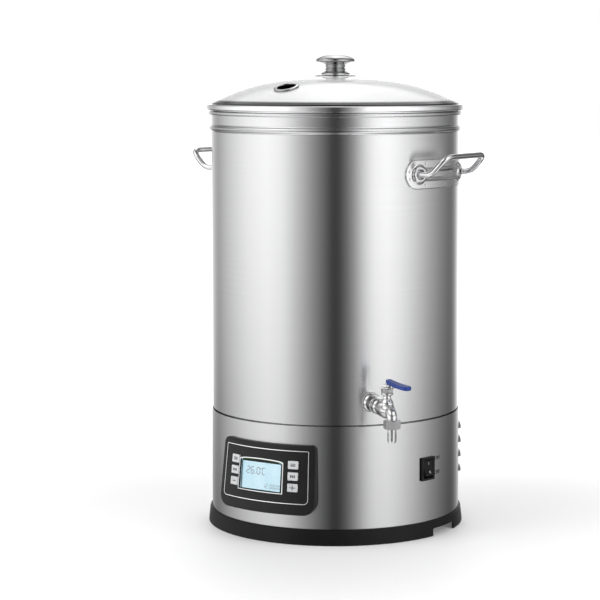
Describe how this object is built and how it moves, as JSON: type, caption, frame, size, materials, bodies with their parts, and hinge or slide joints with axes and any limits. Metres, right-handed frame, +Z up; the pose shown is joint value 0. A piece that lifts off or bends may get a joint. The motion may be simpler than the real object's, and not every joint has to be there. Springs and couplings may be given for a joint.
{
  "type": "electric all in one brewer",
  "caption": "Tall round stainless steel electric brewing kettle with a glass lid, side handles, front control panel, rocker switch, ball valve tap and inner grain basket.",
  "frame": {"origin": "on the kettle's centre line, level with the floor it stands on", "axes": "+Z up, -Y towards the front where the control panel is, +X towards the side with the tap and the switch"},
  "size_m": [0.4248, 0.3673, 0.6438],
  "materials": {
    "brushed_steel": "fine horizontal grain, satin",
    "polished_steel": "mirror polished",
    "lid_glass": "clear tempered glass",
    "display_glass": "clear window over a lit display",
    "black_plastic": "fine matte grain",
    "light_plastic": "satin",
    "display": "pale cyan, lit",
    "blue_vinyl": "dipped vinyl",
    "silicone": "smooth",
    "ptfe": "smooth, waxy",
    "aluminium": "cast and machined",
    "circuit_board": "solder mask",
    "wire": "silicone rubber insulation"
  },
  "bodies": {
    "brewer": {"base_plate": "black_plastic", "base_ring": "black_plastic", "base_screw_1": "polished_steel", "base_screw_2": "polished_steel", "base_screw_3": "polished_steel", "board_tray": "black_plastic", "control_board": "circuit_board", "display_frame": "polished_steel", "display_module": "display", "display_window": "display_glass", "element_lead_1": "wire", "element_lead_2": "wire", "handle_plate_left": "brushed_steel", "handle_plate_right": "brushed_steel", "handle_rod_left": "polished_steel", "handle_rod_right": "polished_steel", "heating_element": "polished_steel", "heating_plate": "aluminium", "hose_barb": "polished_steel", "hose_nut": "polished_steel", "housing_skirt": "brushed_steel", "kettle_shell": "brushed_steel", "mains_inlet": "black_plastic", "panel_bezel": "black_plastic", "power_board": "circuit_board", "relay": "black_plastic", "switch_housing": "black_plastic", "tap_back_nut": "brushed_steel", "tap_body": "polished_steel", "tap_inner_seal": "silicone", "tap_inner_seat": "ptfe", "tap_outer_seal": "silicone", "tap_outer_seat": "ptfe", "tap_packing_nut": "polished_steel", "tap_shank": "polished_steel", "temperature_probe": "polished_steel", "terminal_block": "light_plastic", "thermal_cutout": "black_plastic"},
    "basket": {"basket_shell": "brushed_steel", "basket_screen": "brushed_steel"},
    "bail": {"basket_bail": "polished_steel"},
    "lid": {"lid_glass": "lid_glass", "lid_band": "polished_steel", "lid_eyelet": "polished_steel", "lid_knob": "polished_steel", "knob_flange": "polished_steel", "knob_seal": "silicone", "knob_screw": "polished_steel"},
    "tap_valve": {"tap_ball": "polished_steel", "tap_stem": "polished_steel", "tap_lever": "polished_steel", "lever_nut": "polished_steel", "lever_sleeve": "blue_vinyl"},
    "rocker": {"switch_rocker": "black_plastic"},
    "button_left_top": {"button_left_top": "light_plastic"},
    "button_left_middle": {"button_left_middle": "light_plastic"},
    "button_left_bottom": {"button_left_bottom": "light_plastic"},
    "button_right_top": {"button_right_top": "light_plastic"},
    "button_right_middle": {"button_right_middle": "light_plastic"},
    "button_right_bottom": {"button_right_bottom": "light_plastic"}
  },
  "joints": [
    {"name": "basket_lift", "type": "slide", "parent": "brewer", "child": "basket", "axis": [0, 0, 1], "range_m": [0, 0.45]},
    {"name": "bail_swing", "type": "hinge", "parent": "basket", "child": "bail", "pos_m": [0, 0, 0.512], "axis": [-1, 0, 0], "range_deg": [0, 90]},
    {"name": "lid_lift", "type": "slide", "parent": "basket", "child": "lid", "axis": [0, 0, 1], "range_m": [0, 0.35]},
    {"name": "valve_turn", "type": "hinge", "parent": "brewer", "child": "tap_valve", "pos_m": [0.1789, -0.15772, 0.1902], "axis": [0, 0, 1], "range_deg": [-34, 56]},
    {"name": "rocker_tilt", "type": "hinge", "parent": "brewer", "child": "rocker", "pos_m": [0.165, -0.0342, 0.0929], "axis": [0.2028, 0.9792, 0], "range_deg": [0, 24]},
    {"name": "press_left_top", "type": "slide", "parent": "brewer", "child": "button_left_top", "axis": [0.2506, 0.962, -0.1081], "range_m": [0, 0.0008], "stiffness_N_per_m": 800, "springref_m": -0.001},
    {"name": "press_left_middle", "type": "slide", "parent": "brewer", "child": "button_left_middle", "axis": [0.2506, 0.962, -0.1081], "range_m": [0, 0.0008], "stiffness_N_per_m": 800, "springref_m": -0.001},
    {"name": "press_left_bottom", "type": "slide", "parent": "brewer", "child": "button_left_bottom", "axis": [0.2506, 0.962, -0.1081], "range_m": [0, 0.0008], "stiffness_N_per_m": 800, "springref_m": -0.001},
    {"name": "press_right_top", "type": "slide", "parent": "brewer", "child": "button_right_top", "axis": [-0.2506, 0.962, -0.1081], "range_m": [0, 0.0008], "stiffness_N_per_m": 800, "springref_m": -0.001},
    {"name": "press_right_middle", "type": "slide", "parent": "brewer", "child": "button_right_middle", "axis": [-0.2506, 0.962, -0.1081], "range_m": [0, 0.0008], "stiffness_N_per_m": 800, "springref_m": -0.001},
    {"name": "press_right_bottom", "type": "slide", "parent": "brewer", "child": "button_right_bottom", "axis": [-0.2506, 0.962, -0.1081], "range_m": [0, 0.0008], "stiffness_N_per_m": 800, "springref_m": -0.001}
  ],
  "couplings": [
    {"joint": "bail_swing", "follows": "lid_lift", "rad_per_m": 4.48}
  ]
}
